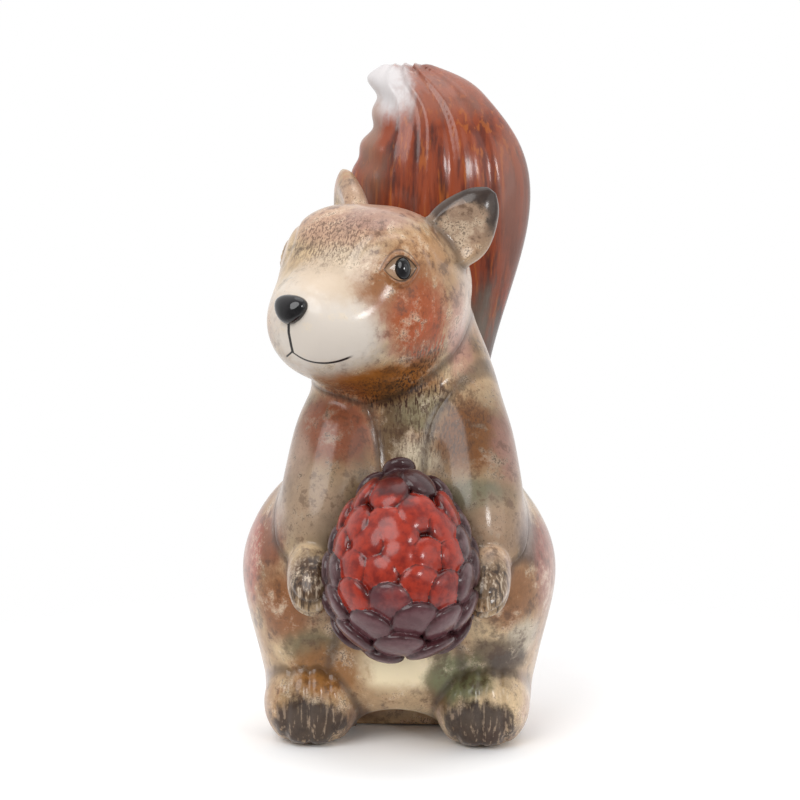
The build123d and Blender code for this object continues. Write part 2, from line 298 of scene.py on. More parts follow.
# Forelegs: an upper arm and a paw each, pressed from solid clay, luted to the shoulder and
# closed round the cone. Three scratched grooves part the fingers.
ARM_LEAN = 1.7
ARM_TOP = (15.3, -3.0, 112.0)
ARM_END = (24.4, -30.0, 54.0)
ARM_RADIUS = 14.5
ARM_ROWS = (
    (0.00, 0.24), (0.05, 0.50), (0.14, 0.72), (0.30, 0.92), (0.50, 1.00),
    (0.70, 1.00), (0.85, 0.88), (0.95, 0.62), (1.00, 0.30),
)
PAW_RADIUS = 7.3
PAW_TOP = (26.2, -31.0, 62.5)
PAW_END = (24.6, -47.5, 45.0)
PAW_ROWS = ((0.00, 0.24), (0.08, 0.56), (0.24, 0.88), (0.50, 1.00), (0.78, 0.88), (0.94, 0.52), (1.00, 0.24))


def on_arm(place, side):
    """A place on the left foreleg, brought to the side that is asked for."""
    return ARM_LEAN + side * place[0], place[1], place[2]


def sleeve_field(p, side):
    return egg(p, ARM_ROWS, on_arm(ARM_TOP, side), on_arm(ARM_END, side), ARM_RADIUS)


def foreleg_field(p, side):
    arm = sleeve_field(p, side)
    wrist, tip = on_arm(PAW_TOP, side), on_arm(PAW_END, side)
    paw = egg(p, PAW_ROWS, wrist, tip, PAW_RADIUS)
    q = into(p, wrist, (side, 0, 0), np.subtract(tip, wrist))
    for across in (-3.2, 0.6, 4.2):
        groove = np.exp(-((q[1] - across) / 0.75) ** 2) * np.clip((q[2] - 15.0) / 6.0, 0, 1)
        paw = paw + 0.8 * groove
    return melt(arm, paw, 1.2)


# Feet: pressed pads of solid clay under the haunches, flat where they stand, with three
# scratched grooves that part the toes.
FOOT_LENGTH = 39.0
FOOT_RADIUS = 14.2
FOOT_SIDE = 25.5
FOOT_BACK = 6.6
FOOT_RISE = 11.64
TOE_WIDTH = 6.6
FOOT_ROWS = (
    (0.00, 0.22), (0.06, 0.50), (0.17, 0.77), (0.34, 0.95), (0.54, 1.00),
    (0.76, 0.96), (0.90, 0.78), (0.97, 0.52), (1.00, 0.26),
)


def foot_field(p, side):
    heel = (side * FOOT_SIDE, FOOT_BACK, FOOT_RISE)
    form = egg(p, FOOT_ROWS, heel, (heel[0], heel[1] - FOOT_LENGTH, heel[2]), FOOT_RADIUS)
    x, y, z = p
    for across in (-TOE_WIDTH, 0.0, TOE_WIDTH):
        line = x - side * FOOT_SIDE - across * (1 - 0.012 * (z - 8))
        groove = np.exp(-(line / 1.1) ** 2) * np.clip((-y - 19.0) / 8.0, 0, 1)
        form = form + 0.9 * groove
    return pare(form, -z + 0 * x + 0 * y, 2.5)


# Ears: pressed leaves of clay, each scooped at the front so that a rim is left, and luted
# to the skull.
EAR = dict(height=29.0, half_width=9.8, half_depth=5.6)
EAR_ROOT = 9.0
EAR_RIM = 1.8
EAR_RING = 21.0
EAR_RISE = 15.0
EAR_SEAT_SWING = 118.0
EAR_LEAN_SWING = 124.0
EAR_FACE_SWING = 36.0
EAR_TILT = math.radians(38.0)
EAR_ROWS = (
    (0.00, 0.40, 0.70, 0, 0), (0.15, 0.70, 0.90, 0, 0), (0.38, 1.00, 1.00, 0, 0), (0.60, 0.95, 0.86, 0, 0),
    (0.80, 0.70, 0.62, 0, 0), (0.93, 0.42, 0.38, 0, 0), (1.00, 0.16, 0.16, 0, 0),
)


def heading(degrees):
    turn = math.radians(degrees)
    return math.sin(turn) * HEAD_SIDE + math.cos(turn) * HEAD_AHEAD


def ear_lean(side):
    return unit(math.sin(EAR_TILT) * heading(side * EAR_LEAN_SWING) + math.cos(EAR_TILT) * UP)


def ear_field(p, side):
    root = EAR_ROOT if side > 0 else EAR_ROOT - 2.0
    lean = ear_lean(side)
    seat = from_head(0, 0, EAR_RISE) + heading(side * EAR_SEAT_SWING) * EAR_RING
    q = into(p, seat - lean * root, np.cross(lean, heading(side * EAR_FACE_SWING)), lean)
    leaf = stack(q, EAR_ROWS, **EAR)
    scoop = stack([q[0], q[1] + EAR["half_depth"], q[2]], EAR_ROWS, **EAR) + EAR_RIM
    return pare(leaf, -scoop, 1.2)


# All the wet clay together. Each piece's skin is the common surface where the piece is the
# nearest one, and past the seam it dives a little under its neighbour's skin.
CLAY = {
    "body": (body_field, 0.0),
    "left_foreleg": (lambda p: foreleg_field(p, 1), 6.5),
    "right_foreleg": (lambda p: foreleg_field(p, -1), 6.5),
    "left_foot": (lambda p: foot_field(p, 1), 3.0),
    "right_foot": (lambda p: foot_field(p, -1), 3.0),
    "tail": (combed_tail, 4.0),
    "head": (carved_head, 6.0),
    "left_ear": (lambda p: ear_field(p, 1), 3.0),
    "right_ear": (lambda p: ear_field(p, -1), 3.0),
}
DIVE = 0.35
TUCK = 4.0


def clay_piece(p, node):
    """The field of one piece among its neighbours."""
    fields = {name: form(p) for name, (form, reach) in CLAY.items()}
    whole = fields["body"]
    for name, (form, reach) in CLAY.items():
        if reach:
            whole = melt(whole, fields[name], reach)
    whole = pare(whole, -arch_field(p), 1.5)
    whole = pare(whole, 0.05 - p[2] + 0 * p[0] + 0 * p[1], 1.0)
    others = np.minimum.reduce([f for name, f in fields.items() if name != node])
    past = fields[node] - others
    piece = np.maximum(whole + DIVE * np.maximum(past, 0), past - TUCK)
    if node == "body":
        inside = np.maximum(fields["body"], WALL - p[2] + 0 * p[0] + 0 * p[1]) + WALL
        drain = np.maximum(np.hypot(p[0], p[1] - DRAIN_BACK) - DRAIN_RADIUS, p[2] - 2 * WALL - 4)
        inside = np.maximum(inside, -(arch_field(p) - WALL))
        piece = np.maximum(piece, -inside)
        piece = pare(piece, -drain, 1.0)
    return piece


def skin(field, low, step):
    """Corners and quads on the zero level of a field sampled on a grid."""
    size = np.array(field.shape)
    cells = size - 1
    total = np.zeros((int(np.prod(cells)), 3))
    count = np.zeros(int(np.prod(cells)))
    stride = np.array((cells[1] * cells[2], cells[2], 1))
    quads = []
    for axis in range(3):
        ends = [slice(None)] * 3
        starts = [slice(None)] * 3
        starts[axis], ends[axis] = slice(0, -1), slice(1, None)
        a, b = field[tuple(starts)], field[tuple(ends)]
        edge = np.argwhere((a < 0) != (b < 0))
        u, v = (axis + 1) % 3, (axis + 2) % 3
        kept = (edge[:, u] > 0) & (edge[:, u] < size[u] - 1) & (edge[:, v] > 0) & (edge[:, v] < size[v] - 1)
        edge = edge[kept]
        first, second = a[tuple(edge.T)], b[tuple(edge.T)]
        point = edge.astype(float)
        point[:, axis] += first / (first - second)
        ring = []
        for du, dv in ((0, 0), (-1, 0), (-1, -1), (0, -1)):
            cell = edge.copy()
            cell[:, u] += du
            cell[:, v] += dv
            number = cell @ stride
            ring.append(number)
            for i in range(3):
                total[:, i] += np.bincount(number, point[:, i], len(total))
            count += np.bincount(number, minlength=len(count))
        ring = np.stack(ring, 1)
        ring[first > second] = ring[first > second][:, ::-1]
        quads.append(ring)
    used = np.nonzero(count)[0]
    order = np.full(len(count), -1)
    order[used] = np.arange(len(used))
    corners = total[used] / count[used, None] * step + np.array(low)
    quads = order[np.concatenate(quads)]
    return corners, quads


def settle(corners, quads, rounds=2):
    """Evens out the steps that the grid leaves in a skin."""
    pairs = np.concatenate([quads[:, [i, (i + 1) % 4]] for i in range(4)])
    degree = sum(np.bincount(pairs[:, i], minlength=len(corners)) for i in range(2))
    for share in (0.6, -0.55) * rounds:
        pull = np.zeros_like(corners)
        for i in range(3):
            pull[:, i] = (np.bincount(pairs[:, 0], corners[pairs[:, 1], i], len(corners))
                          + np.bincount(pairs[:, 1], corners[pairs[:, 0], i], len(corners)))
        corners = corners + share * (pull / degree[:, None] - corners)
    return corners


def pull_skin(name, field, low, high, step):
    """A named mesh on the zero level of a field, in metres."""
    axes = [np.arange(a, b + step, step) for a, b in zip(low, high)]
    p = [axes[0][:, None, None], axes[1][None, :, None], axes[2][None, None, :]]
    values = np.broadcast_to(field(p), [len(a) for a in axes]).copy()
    corners, quads = skin(values, low, step)
    corners = settle(corners, quads) * 0.001
    mesh = bpy.data.meshes.new(name)
    mesh.from_pydata(corners.tolist(), [], quads[:, ::-1].tolist())
    mesh.polygons.foreach_set("use_smooth", np.ones(len(mesh.polygons), bool))
    mesh.update()
    made = bpy.data.objects.new(name, mesh)
    bpy.context.scene.collection.objects.link(made)
    return made


def around(node, spare=3.0):
    """The CAD node's box in millimetres, with room round it."""
    low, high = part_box(node)
    return [c * 1000 - spare for c in low], [c * 1000 + spare for c in high]


painted = []
for node in CLAY:
    low, high = around(node, 7.0 if node == "head" else 4.0)
    fine = node not in ("body", "tail")
    made = pull_skin(node + "_skin", lambda p: clay_piece(p, node), low, high, FINE_GRID if fine else GRID)
    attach(made, "root")
    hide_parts(node)
    painted.append(made)

# Pine cone: one casting whose scales spiral out from a pole that looks forward and up.
# Each scale is a rounded tile, lifted at the edge that lies away from the pole.
CONE_MIDDLE = np.array((2.8, -43.2, 59.6))
CONE_HEIGHT = 56.5
CONE_RADIUS = 21.6
CONE_SINK = 0.9
CONE_ROWS = (
    (0.00, 0.16), (0.05, 0.46), (0.14, 0.74), (0.26, 0.92), (0.40, 1.00),
    (0.56, 0.93), (0.72, 0.77), (0.86, 0.53), (0.95, 0.30), (1.00, 0.12),
)
CONE_POLE = unit((0.0, -math.cos(math.radians(35.0)), math.sin(math.radians(35.0))))
SCALES = 66
SCALE_SPREAD = 0.295
SCALE_THICKNESS = 2.6


def core_field(p):
    foot = CONE_MIDDLE - UP * CONE_HEIGHT / 2
    return egg(p, CONE_ROWS, foot, foot + UP * CONE_HEIGHT, CONE_RADIUS)


def scale_seats():
    pole_side = unit(np.cross(UP, CONE_POLE))
    pole_rise = np.cross(CONE_POLE, pole_side)
    golden = math.pi * (3 - 5 ** 0.5)
    for number in range(SCALES):
        swing = math.acos(1 - 2 * 0.93 * number / SCALES)
        turn = number * golden
        way = (math.sin(swing) * (math.cos(turn) * pole_side + math.sin(turn) * pole_rise)
               + math.cos(swing) * CONE_POLE)
        seat, out = on_skin(core_field, CONE_MIDDLE, way)
        if abs(out[2]) > 0.94:
            continue
        away = unit(np.cross(np.cross(way, CONE_POLE) if number else pole_side, out))
        narrow = np.hypot(*(seat - CONE_MIDDLE)[:2]) / 13.0
        radius = SCALE_SPREAD * np.linalg.norm(seat - CONE_MIDDLE) * min(1.0, 0.45 + 0.55 * narrow)
        yield seat, out, away, 0.24 * min(swing, 1.3), radius


def one_scale(p, seat, out, away, tilt, radius):
    """Distance to one scale, and how near a place is to the scale's crest."""
    tilted = math.cos(tilt) * away + math.sin(tilt) * out
    up = math.cos(tilt) * out - math.sin(tilt) * away
    q = shifted(p, seat - out * CONE_SINK)
    u, v, w = (sum(c * float(a) for c, a in zip(q, axis)) for axis in (tilted, np.cross(up, tilted), up))
    flat = (u / radius) ** 2 + (v / radius) ** 2
    ring = np.sqrt(flat + (w / SCALE_THICKNESS) ** 2)
    steep = np.sqrt((u / radius ** 2) ** 2 + (v / radius ** 2) ** 2 + (w / SCALE_THICKNESS ** 2) ** 2) + 1e-6
    return ring * (ring - 1) / steep, 1 - flat


def cone_field(p):
    form = core_field(p) + CONE_SINK
    full = np.broadcast_to(form, np.broadcast_shapes(*[c.shape for c in p])).copy()
    for place in SEATS:
        near = [np.nonzero(np.abs(c.ravel() - m) < place[4] + 4)[0] for c, m in zip(p, place[0])]
        if min(len(n) for n in near):
            block = tuple(slice(n[0], n[-1] + 1) for n in near)
            local = [p[0][block[0]], p[1][:, block[1]], p[2][:, :, block[2]]]
            full[block] = melt(full[block], one_scale(local, *place)[0], 0.35)
    limbs = [foreleg_field(p, side) for side in SIDES.values()]
    covered = melt(trunk_field(p), np.minimum(*limbs), 6.5) + 0.6
    return np.maximum(full, -covered)


SEATS = list(scale_seats())
low, high = around("pine_cone", 2.0)
cone = pull_skin("pine_cone_skin", cone_field, low, high, FINE_GRID)
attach(cone, "root")
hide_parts("pine_cone")

# Painted shade, with glaze stain pooled in it, darkens the creases where two castings meet and the
# clay round the cone, so every corner of a skin carries how near it lies to a seam. On the cone it
# carries how near it is to a scale's crest, for the painted shade between scales, and how red that scale is.
def mark(made, name, value):
    layer = made.data.attributes.new(name, "FLOAT", "POINT")
    layer.data.foreach_set("value", np.asarray(value, np.float32))


def corners_of(made):
    places = np.empty(len(made.data.vertices) * 3)
    made.data.vertices.foreach_get("co", places)
    return list(places.reshape(-1, 3).T * 1000)


for made in painted:
    node = made.name[:-5]
    p = corners_of(made)
    fields = {name: form(p) for name, (form, reach) in CLAY.items()}
    own = fields.pop(node)
    seam = np.minimum.reduce(list(fields.values())) - own
    if node == "body":
        thighs = [haunch_field(p, side) for side in SIDES.values()]
        seam = np.minimum(seam, np.abs(trunk_field(p) - np.minimum(*thighs)))
    if node.endswith("foreleg"):
        seam = np.minimum(seam, np.abs(sleeve_field(p, 1 if node == "left_foreleg" else -1)) + 1.2)
    # The mark is painted shade with pooled stain: near one at a seam and close round the cone.
    mark(made, "seam", np.exp(-(seam / 2.6) ** 2) + np.exp(-(core_field(p) / 3.0) ** 2))

RED_PLACE, RED_REACH = (1.0, 68.5), (15.5, 16.5)
chance = np.random.default_rng(7)
p = corners_of(cone)
nearest = np.full(len(p[0]), 9e9)
crest, red = np.zeros(len(p[0])), np.zeros(len(p[0]))
for place in SEATS:
    far, height = one_scale(p, *place)
    own = far < nearest
    aside = np.hypot((place[0][0] - RED_PLACE[0]) / RED_REACH[0], (place[0][2] - RED_PLACE[1]) / RED_REACH[1])
    aside += 0.14 * chance.standard_normal() + 2.0 * (place[0][1] > CONE_MIDDLE[1])
    nearest[own], crest[own], red[own] = far[own], height[own], np.clip((1.25 - aside) / 0.35, 0, 1)
mark(cone, "crest", crest - np.clip(nearest, 0, 2))
mark(cone, "red", red)

# Eyes: beads of clay set upright into the rims, under black glaze.
# Nose: a pressed pad, a rounded triangle with its point down, under the same glaze.
EYE_HALF_WIDTH = 2.5
EYE_HALF_HEIGHT = 3.55
black = []
for hand, (seat, out, across, rise) in EYES.items():
    def bead(p):
        q = shifted(p, seat - out * 1.0)
        u, v, w = (sum(c * float(a) for c, a in zip(q, axis)) for axis in (across, rise, out))
        ring = np.sqrt((u / EYE_HALF_WIDTH) ** 2 + (v / EYE_HALF_HEIGHT) ** 2 + (w / 2.3) ** 2)
        return (ring - 1) * 2.3
    made = pull_skin(hand + "_eye_bead", bead, seat - 6.0, seat + 6.0, 0.22)
    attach(made, "root")
    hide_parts(hand + "_eye")
    black.append(made)

NOSE_LIFT = math.radians(22.0)
NOSE_SEAT, NOSE_OUT = on_skin(head_field, from_head(0.6, 0.36 * 68.5, -7.4),
                              math.cos(NOSE_LIFT) * HEAD_AHEAD + math.sin(NOSE_LIFT) * UP)
NOSE_SIDE = unit(np.cross(UP, NOSE_OUT))
NOSE_UP = np.cross(NOSE_OUT, NOSE_SIDE)


def nose_field(p):
    q = shifted(p, NOSE_SEAT)
    u, v, w = (sum(c * float(a) for c, a in zip(q, axis)) for axis in (NOSE_SIDE, NOSE_UP, NOSE_OUT))
    ring = (np.abs(u) / (5.3 + 0.36 * v)) ** 2.2 + (np.abs(v) / 4.3) ** 2.2
    return ((ring + (np.abs(w) / 3.1) ** 2.2) ** 0.45 - 1) * 3.1


nose = pull_skin("nose_pad", nose_field, NOSE_SEAT - 10.0, NOSE_SEAT + 10.0, 0.3)
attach(nose, "root")
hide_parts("nose")
black.append(nose)


# Painting: glaze stains brushed, dabbed and wiped on in patches, fired under one clear glossy
# coat. The painted skins share one glaze, laid out by places on the figurine.
class Paint:
    """A socket of a material, with arithmetic that adds the maths nodes."""

    tree = None

    def __init__(self, socket):
        self.socket = socket

    @staticmethod
    def node(kind, settings, sockets, out=0):
        made = Paint.tree.nodes.new(kind)
        for name, value in settings.items():
            setattr(made, name, value)
        for name, value in sockets.items():
            if isinstance(value, Paint):
                Paint.tree.links.new(value.socket, made.inputs[name])
            else:
                made.inputs[name].default_value = value
        return Paint(made.outputs[out])

    def maths(self, operation, *others):
        return Paint.node("ShaderNodeMath", {"operation": operation}, dict(enumerate((self,) + others)))

    def __add__(self, other):
        return self.maths("ADD", other)

    def __sub__(self, other):
        return self.maths("SUBTRACT", other)

    def __rsub__(self, other):
        return (self * -1.0) + other

    def __mul__(self, other):
        return self.maths("MULTIPLY", other)

    def __truediv__(self, other):
        return self.maths("DIVIDE", other)

    __radd__ = __add__
    __rmul__ = __mul__

    def ramp(self, low, high, bottom=0.0, top=1.0):
        return Paint.node("ShaderNodeMapRange", {"interpolation_type": "SMOOTHSTEP"},
                          {0: self, 1: low, 2: high, 3: bottom, 4: top})


def start_paint(name):
    """A fresh glossy glaze to paint on."""
    material = bpy.data.materials.new(name)
    material.use_nodes = True
    Paint.tree = material.node_tree
    Paint.tree.nodes.clear()
    return material


def here():
    return Paint.node("ShaderNodeTexCoord", {}, {}, out=3)


def vector(operation, first, second, out=0):
    """Maths on two vectors. The second output is the plain number of a length or a product."""
    sockets = {0: first} if second is None else {0: first, 1: second}
    return Paint.node("ShaderNodeVectorMath", {"operation": operation}, sockets, out)


def noise(scale, detail=3.0, stretch=(1, 1, 1), rough=0.55):
    spot = vector("MULTIPLY", here(), stretch)
    sockets = {"Vector": spot, "Scale": scale, "Detail": detail, "Roughness": rough}
    return Paint.node("ShaderNodeTexNoise", {}, sockets)


def patch(centre, radii, ragged, soft=0.35, amount=1.0):
    """How strongly a place lies in a brushed patch, given in millimetres."""
    away = vector("SUBTRACT", here(), [c / 1000 for c in centre])
    away = vector("DIVIDE", away, [r / 1000 for r in radii])
    far = vector("LENGTH", away, None, out=1)
    return (far + (ragged - 0.5) * 2.0).ramp(1 + soft, 1 - soft, 0.0, amount)


def strength(colour, amount):
    """A colour made lighter or darker."""
    return Paint.node("ShaderNodeVectorMath", {"operation": "SCALE"}, {0: colour, "Scale": amount})


def over(base, colour, amount):
    return Paint.node("ShaderNodeMix", {"data_type": "RGBA"}, {0: amount, 6: base, 7: colour}, out=2)


def tone(code):
    """A colour as the eye reads it, for a socket that wants light."""
    parts = [int(code[i:i + 2], 16) / 255 for i in (0, 2, 4)]
    return [c / 12.92 if c < 0.04045 else ((c + 0.055) / 1.055) ** 2.4 for c in parts] + [1.0]


def close_tree(shader, kind="ShaderNodeOutputMaterial"):
    end = Paint.tree.nodes.new(kind)
    Paint.tree.links.new(shader.socket, end.inputs["Surface"])


def glaze(colour, roughness=0.3, relief=None, depth=0.0004, coat=0.65, gloss=0.16):
    """Closes a material: stained clay under a clear coat."""
    sockets = {"Base Color": colour, "Roughness": roughness, "Specular IOR Level": 0.15,
               "Coat Weight": coat, "Coat Roughness": gloss}
    if relief is not None:
        bump = {"Height": relief, "Distance": depth, "Strength": 0.6}
        sockets["Normal"] = Paint.node("ShaderNodeBump", {}, bump)
    close_tree(Paint.node("ShaderNodeBsdfPrincipled", {}, sockets))


# Stains on the clay: a patch is its colour, strength, centre, half sizes and raggedness.
STAINS = (
    # head
    ("d9cfc4", 0.98, (-21, -42, 129), (19, 17, 18)), ("cbb69e", 0.85, (-15, -36, 144), (14, 11, 10)),
    ("b9917a", 0.8, (-16, -24, 156), (19, 17, 6)), ("a07a6c", 0.7, (-6, -26, 158), (12, 10, 3.5)),
    ("c79e8a", 0.75, (3, -8, 161), (17, 15, 6)), ("b5875c", 0.85, (10, -27, 147), (11, 10, 9)),
    ("8f5629", 0.9, (1.5, -36, 139), (11, 10, 11)), ("a64e22", 0.95, (8.5, -33, 128), (12, 10, 12)),
    ("bf8b7c", 0.85, (19.5, -18, 124), (5.5, 8, 13)), ("9a6a50", 0.8, (9, -28, 117), (8, 8, 5)),
    ("a5652b", 1.0, (-3, -29, 109.5), (19, 14, 7)), ("c4a98c", 0.8, (20, -6, 140), (9, 14, 14)),
    # near ear and far ear
    ("a18772", 0.9, (20, -13, 156), (9, 9, 9)), ("4a3c36", 0.9, (27, -14, 165), (9, 5, 4)),
    ("4a3d38", 0.9, (31, -12, 157), (3.2, 6, 8)), ("b09078", 0.9, (-14, 9, 160), (8, 8, 8)),
    # forelegs and chest
    ("9c4f30", 0.9, (-19, -25, 96), (13, 12, 11)), ("cfae98", 0.8, (-29, -24, 84), (5, 12, 10)),
    ("c6a98c", 0.9, (-25, -33, 74), (12, 12, 10)), ("66523a", 0.85, (-0.5, -24, 95), (4.5, 10, 12)),
    ("8a8366", 0.8, (9, -22, 100), (8, 9, 7)), ("c9bfa6", 0.75, (9, -24, 88), (8, 9, 5)),
    ("8a5220", 0.95, (22, -25, 93), (11, 12, 11)), ("7c8068", 0.8, (23, -34, 78), (10, 10, 4.5)),
    ("c4a284", 0.9, (29, -34, 67), (9, 12, 9)), ("b58478", 0.8, (32, -18, 86), (5, 12, 14)),
    ("4a3224", 0.9, (-24, -44, 54), (7, 9, 8)), ("6f5c4a", 0.85, (29, -44, 54), (7, 9, 8)),
    # haunches
    ("7c4020", 0.95, (-38, -24, 62), (9, 10, 9)), ("a85444", 0.85, (-43.5, -16, 56), (4, 12, 15)),
    ("8b5730", 0.95, (-33, -30, 43), (9, 9, 11)), ("6a5f3f", 0.8, (-24, -30, 30), (9, 8, 6)),
    ("4c2f1e", 0.95, (40, -22, 62), (9, 9, 9)), ("8f4638", 0.85, (44, -14, 55), (4, 12, 14)),
    ("8f6240", 0.9, (35, -30, 48), (9, 9, 9)), ("c4b9a6", 0.8, (38, -24, 33), (6, 9, 6)),
    ("5d4a36", 0.85, (30, -29, 29), (9, 9, 5)),
    # belly, the arch and the feet
    ("eddcb8", 1.0, (2, -31, 24), (15, 9, 7)), ("b0926f", 0.6, (2, -30, 15), (16, 9, 5)),
    ("6b5238", 0.9, (13.5, -27, 20), (4.5, 9, 10)), ("6b4a30", 0.9, (-12, -14, 8), (6, 16, 9)),
    ("93622f", 0.95, (-20, -28, 23), (11, 11, 8)), ("71724f", 0.95, (19, -29, 22), (9, 10, 7)),
    ("4b3f38", 0.85, (34, -26, 26), (7, 9, 4)),
)
TOES = ((-25.5, -32, 7), (25.5, -32, 7))


def along(axis, origin=HEAD_PLACE):
    """How far a place lies along an axis from an origin, in millimetres."""
    away = vector("SUBTRACT", here(), [c / 1000 for c in origin])
    return vector("DOT_PRODUCT", away, list(axis), out=1) * 1000.0


clay_glaze = start_paint("painted_glaze")
cloud = noise(30.0, 4.0)
blot = noise(75.0, 6.0, rough=0.66)
mottle = noise(190.0, 6.0, rough=0.72)
brush = noise(380.0, 4.0, stretch=(1, 1, 0.22), rough=0.6)
grain = noise(1900.0, 3.0, rough=0.7)
hair = noise(900.0, 2.0, stretch=(1, 1, 0.12))
coat = over(tone("a47d55"), tone("cfb48e"), cloud.ramp(0.36, 0.60))
coat = over(coat, tone("80492a"), blot.ramp(0.50, 0.68) * 0.75)
coat = over(coat, tone("6b5538"), noise(48.0, 4.0, rough=0.6).ramp(0.55, 0.68) * 0.6)
ragged = blot * 0.35 + mottle * 0.40 + brush * 0.25
coat = over(coat, tone("3c2819"), noise(120.0, 5.0, rough=0.7).ramp(0.56, 0.68) * 0.55)
rear = along((0, 1, 0), (0, 0, 0)).ramp(-16.0, 6.0)
for code, amount, cell in (("96552f", 0.8, 27.0), ("6f5c3a", 0.7, 34.0), ("a8684e", 0.6, 41.0)):
    spread = (noise(cell, 4.0, rough=0.6) + (mottle - 0.5) * 0.25).ramp(0.52, 0.60)
    coat = over(coat, tone(code), spread * rear * amount)
for code, amount, centre, radii in STAINS:
    coat = over(coat, tone(code), patch(centre, radii, ragged, 0.42, amount))
bare = patch((-22, -43, 129), (18, 16, 18), blot, 0.4) + patch((2, -31, 24), (13, 9, 7), blot, 0.3)
quiet = 1.0 - bare.maths("MINIMUM", 1.0)
coat = over(coat, tone("e6d4ba"), (mottle + blot - 0.5).ramp(0.53, 0.76) * 0.5)
coat = over(coat, tone("5a3d2b"), (mottle * 1.0).ramp(0.47, 0.36) * 0.55 * quiet)
dusting = (grain + mottle - 0.5).ramp(0.60, 0.70) * blot.ramp(0.42, 0.56)
coat = over(coat, tone("3a271d"), dusting * 0.7 * quiet)
specks = patch((-18, -26, 152), (17, 14, 7), blot, 0.4) + patch((-2, -27, 106), (20, 14, 5), blot, 0.3)
specks = specks + patch((9, -24, 98), (15, 12, 16), blot, 0.4) + patch((9, -29, 116), (10, 9, 6), blot, 0.4)
hatch = noise(1700.0, 2.0, stretch=(1, 0.6, 0.24), rough=0.6)
coat = over(coat, tone("4a3022"), (hatch * 0.75 + mottle * 0.25).ramp(0.47, 0.58) * specks * 0.65)
knuckles = patch((-24, -46, 52), (8, 9, 9), blot, 0.3) + patch((29, -46, 52), (8, 9, 9), blot, 0.3)
coat = over(coat, tone("cdb9a2"), hair.ramp(0.54, 0.64) * knuckles * 0.75)
coat = over(coat, tone("2e1f18"), hair.ramp(0.46, 0.38) * knuckles * 0.75)
coat = over(coat, tone("b0532c"), hair.ramp(0.50, 0.60) * patch((11, -30, 124), (9, 9, 8), blot, 0.2) * 0.8)
# Painted shade, with pooled stain, in the creases where castings meet and round the cone.
seam = Paint.node("ShaderNodeAttribute", {"attribute_name": "seam"}, {}, out=2)
coat = over(coat, tone("3d2c20"), (seam + (mottle - 0.5) * 1.2).ramp(0.35, 1.1) * 0.65)
for centre in TOES:
    toe = patch(centre, (13, 10, 8.5), mottle * 0.5 + brush * 0.5, 0.4)
    coat = over(coat, tone("2c1c17"), (toe * brush.ramp(0.20, 0.46)).ramp(0.1, 0.9) * 0.93)
    coat = over(coat, tone("a89078"), toe * (hair * 0.6 + mottle * 0.4).ramp(0.53, 0.62) * 0.6)
lean = ear_lean(1)
ear_side = unit(np.cross(lean, heading(EAR_FACE_SWING)))
ear_root = from_head(0, 0, EAR_RISE) + heading(EAR_SEAT_SWING) * EAR_RING - lean * EAR_ROOT
u, v = along(ear_side, ear_root), along(lean, ear_root)
u_share, v_share = u / EAR["half_width"], (v - 12.5) / 16.0
leaf = (u_share * u_share + v_share * v_share).maths("SQRT")
dark = (leaf + (mottle - 0.5) * 0.8).ramp(0.62, 0.80) * v.ramp(9.0, 14.0) * (v * 0.6 - u).ramp(2.0, 8.0)
coat = over(coat, tone("31241f"), dark * 0.92)
side, ahead, up = along(HEAD_SIDE), along(HEAD_AHEAD), along(UP)
wide = side.maths("ABSOLUTE")
front = ahead.ramp(24.0, 28.0)
MOUTH_REACH, MOUTH_BEND, MOUTH_LOW = 8.2, 0.045, 16.4
smile = (wide - MOUTH_REACH) * (wide - MOUTH_REACH) * MOUTH_BEND - MOUTH_LOW
line = (up - smile).maths("ABSOLUTE").ramp(0.42, 0.18) * wide.ramp(16.0, 13.5) * front * side.ramp(-3.6, -2.8)
philtrum = (side - 0.2).maths("ABSOLUTE").ramp(0.62, 0.36) * front
philtrum = philtrum * up.ramp(-14.1, -13.5) * up.ramp(-1.0, -3.0)
coat = over(coat, tone("1f1a18"), (line + philtrum).ramp(0.0, 1.0))
for hand, (seat, out, across, rise) in EYES.items():
    u, v, w = along(across, seat), along(rise, seat), along(out, seat)
    along_lid = (u + LID_SHIFT) / LID_HALF_WIDTH
    ring = v.maths("ABSOLUTE") / LID_HALF_HEIGHT + along_lid * along_lid
    near = w.maths("ABSOLUTE").ramp(6.0, 4.0)
    coat = over(coat, tone("a08266"), ring.ramp(1.0, 0.8) * near * 0.8)
    coat = over(coat, tone("3d2a20"), (ring - 0.84).maths("ABSOLUTE").ramp(0.09, 0.03) * near * 0.85)
    fold = (ring - 1.28).maths("ABSOLUTE").ramp(0.12, 0.03) * near
    coat = over(coat, tone("4a3427"), fold * v.ramp(-1.0, 1.0) * 0.6)
# Painted reflection: the flanks, where the normal faces sideways, turn pale pink-white for the white room the
# glaze reflects at its rims.
flank = Paint.node("ShaderNodeNewGeometry", {}, {}, out=1)
flank = vector("DOT_PRODUCT", flank, (1, 0, 0), out=1)
coat = over(coat, tone("d6bdb2"), (flank.maths("ABSOLUTE") + (blot - 0.5) * 0.35).ramp(0.76, 1.0) * 0.34)
coat = over(coat, strength(coat, (mottle * 0.6 + blot * 0.4).ramp(0.34, 0.62, 0.72, 1.08)), quiet)
relief = blot * 0.35 + (brush * 0.35 + mottle * 0.3) * (quiet * 0.8 + 0.2)
glaze(coat, 0.40, relief, 0.0007)
for made in painted:
    made.data.materials.append(clay_glaze)

